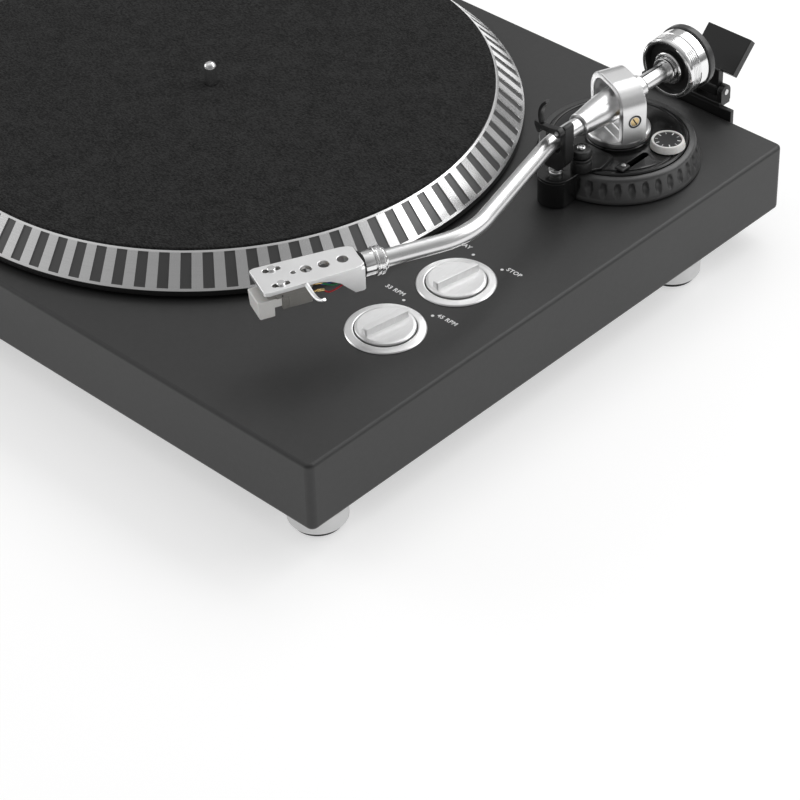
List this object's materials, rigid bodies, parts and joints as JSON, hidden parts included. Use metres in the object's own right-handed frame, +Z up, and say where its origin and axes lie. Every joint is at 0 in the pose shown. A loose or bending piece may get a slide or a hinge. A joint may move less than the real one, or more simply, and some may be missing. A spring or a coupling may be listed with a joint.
{
  "type": "turntable record player",
  "caption": "Belt-driven turntable on a flat black plinth, with an S-shaped tonearm, round knobs and dust-cover hinges.",
  "frame": {"origin": "middle of the footprint's bounding box, on the surface the feet stand on", "axes": "+X to the user's right along the front, +Y to the back, +Z up"},
  "size_m": [0.45, 0.3746, 0.1182],
  "materials": {
    "case_black": "satin black lacquer",
    "base_steel": "black painted steel",
    "zinc_steel": "bright zinc plate",
    "foot_silver": "silver paint",
    "pad_rubber": "black rubber",
    "bright_steel": "turned steel",
    "platter_metal": "cast and turned, polished bars on its bevel",
    "felt_black": "black felt",
    "belt_rubber": "ground rubber",
    "motor_steel": "drawn steel can",
    "brass": "turned brass",
    "board_green": "green solder mask",
    "black_plastic": "black moulded plastic",
    "gold_metal": "gold plate",
    "switch_grey": "grey plastic",
    "knob_silver": "fine spun, clear anodised",
    "base_black": "black satin moulding",
    "dial_white": "white moulding with a black top",
    "arm_silver": "satin silver",
    "shell_silver": "satin silver",
    "chrome": "chrome plate",
    "cartridge_grey": "grey moulding",
    "stylus_white": "clear white moulding",
    "lead_mix": "four coloured coats"
  },
  "bodies": {
    "case": {"plinth": "case_black", "base_plate": "base_steel", "case_screws": "zinc_steel", "front_left_foot": "foot_silver", "front_right_foot": "foot_silver", "rear_left_foot": "foot_silver", "rear_right_foot": "foot_silver", "foot_pads": "pad_rubber", "foot_bolts": "zinc_steel", "bearing_housing": "bright_steel", "chassis_screws": "zinc_steel", "thrust_ball": "bright_steel", "drive_belt": "belt_rubber", "motor": "motor_steel", "main_board": "board_green", "dc_inlet": "black_plastic", "phono_sockets": "gold_metal", "ground_terminal": "zinc_steel", "signal_lead": "belt_rubber", "rotary_switches": "switch_grey", "knob_rings": "knob_silver", "arm_collar": "zinc_steel", "hinge_brackets": "black_plastic", "hinge_pins": "zinc_steel"},
    "platter_body": {"platter_shaft": "bright_steel", "platter": "platter_metal", "slipmat": "felt_black"},
    "pulley_body": {"motor_pulley": "brass"},
    "speed_knob_body": {"speed_knob": "knob_silver"},
    "play_knob_body": {"play_knob": "knob_silver"},
    "height_ring_body": {"height_ring": "base_black"},
    "arm_base_body": {"arm_base": "base_black", "arm_bearings": "bright_steel", "lift_cylinder": "base_black", "rest_bracket": "base_black", "rest_post": "bright_steel", "rest_cradle": "black_plastic"},
    "antiskate_body": {"antiskate_dial": "dial_white"},
    "cue_body": {"cue_slider": "black_plastic"},
    "lift_body": {"lift_platform": "base_black"},
    "clip_body": {"rest_clip": "black_plastic"},
    "turret_body": {"arm_turret": "arm_silver", "yoke": "arm_silver", "pivot_screws": "brass"},
    "arm_body": {"arm_barrel": "arm_silver", "arm_tube": "arm_silver", "shell_washer": "pad_rubber", "headshell": "shell_silver", "finger_lift": "shell_silver", "cartridge": "cartridge_grey", "stylus": "stylus_white", "headshell_leads": "lead_mix", "headshell_screws": "zinc_steel", "rear_shaft": "arm_silver"},
    "lock_body": {"lock_collar": "chrome"},
    "core_body": {"weight_core": "chrome"},
    "weight_body": {"counterweight": "chrome"},
    "force_body": {"force_dial": "black_plastic"},
    "right_leaf_body": {"right_hinge_leaf": "black_plastic"},
    "left_leaf_body": {"left_hinge_leaf": "black_plastic"}
  },
  "joints": [
    {"name": "platter_turn", "type": "hinge", "parent": "case", "child": "platter_body", "pos_m": [-0.021, -0.01131, 0.066], "axis": [0, 0, -1], "continuous": true},
    {"name": "pulley_turn", "type": "hinge", "parent": "case", "child": "pulley_body", "pos_m": [-0.111, 0.04269, 0.064], "axis": [0, 0, -1], "continuous": true},
    {"name": "speed_knob_turn", "type": "hinge", "parent": "case", "child": "speed_knob_body", "pos_m": [0.179, -0.08831, 0.058], "axis": [0, 0, -1], "range_deg": [-33, 12]},
    {"name": "play_knob_turn", "type": "hinge", "parent": "case", "child": "play_knob_body", "pos_m": [0.179, -0.03781, 0.058], "axis": [0, 0, -1], "range_deg": [-33, 12]},
    {"name": "height_ring_turn", "type": "hinge", "parent": "case", "child": "height_ring_body", "pos_m": [0.1683, 0.09769, 0.061], "axis": [0, 0, 1], "range_deg": [0, 180]},
    {"name": "arm_height", "type": "slide", "parent": "case", "child": "arm_base_body", "axis": [0, 0, 1], "range_m": [0, 0.005]},
    {"name": "antiskate_turn", "type": "hinge", "parent": "arm_base_body", "child": "antiskate_body", "pos_m": [0.1943, 0.10639, 0.073], "axis": [0, 0, -1], "range_deg": [0, 270]},
    {"name": "cue_slide", "type": "slide", "parent": "arm_base_body", "child": "cue_body", "axis": [0, 1, 0], "range_m": [0, 0.012]},
    {"name": "lift_rise", "type": "slide", "parent": "arm_base_body", "child": "lift_body", "axis": [0, 0, 1], "range_m": [0, 0.003]},
    {"name": "clip_open", "type": "hinge", "parent": "arm_base_body", "child": "clip_body", "pos_m": [0.1749, 0.04334, 0.102], "axis": [0, 1, 0], "range_deg": [0, 95]},
    {"name": "arm_swing", "type": "hinge", "parent": "arm_base_body", "child": "turret_body", "pos_m": [0.1683, 0.09769, 0.075], "axis": [0, 0, -1], "range_deg": [0, 42]},
    {"name": "arm_lift", "type": "hinge", "parent": "turret_body", "child": "arm_body", "pos_m": [0.1683, 0.09769, 0.089], "axis": [-0.9304, 0.3665, 0], "range_deg": [-0.4, 3]},
    {"name": "lock_collar_turn", "type": "hinge", "parent": "arm_body", "child": "lock_body", "pos_m": [0.16886, -0.09428, 0.0925], "axis": [-0.3987, -0.9171, 0], "range_deg": [0, 25]},
    {"name": "weight_travel", "type": "slide", "parent": "arm_body", "child": "core_body", "axis": [0, 1, 0], "range_m": [-0.003, 0.003]},
    {"name": "weight_turn", "type": "hinge", "parent": "core_body", "child": "weight_body", "pos_m": [0.1683, 0.14369, 0.0925], "axis": [0, 1, 0], "range_deg": [-360, 360]},
    {"name": "force_dial_turn", "type": "hinge", "parent": "weight_body", "child": "force_body", "pos_m": [0.1683, 0.15269, 0.0925], "axis": [0, 1, 0], "continuous": true},
    {"name": "right_leaf_turn", "type": "hinge", "parent": "case", "child": "right_leaf_body", "pos_m": [0.1726, 0.17019, 0.068], "axis": [1, 0, 0], "range_deg": [0, 45]},
    {"name": "left_leaf_turn", "type": "hinge", "parent": "case", "child": "left_leaf_body", "pos_m": [-0.1726, 0.17019, 0.068], "axis": [1, 0, 0], "range_deg": [0, 45]}
  ],
  "couplings": [
    {"joint": "pulley_turn", "follows": "platter_turn", "ratio": 11.077},
    {"joint": "height_ring_turn", "follows": "arm_height", "rad_per_m": 628.3},
    {"joint": "lift_rise", "follows": "cue_slide", "ratio": 0.25},
    {"joint": "weight_travel", "follows": "weight_turn", "m_per_rad": 0.000477}
  ]
}
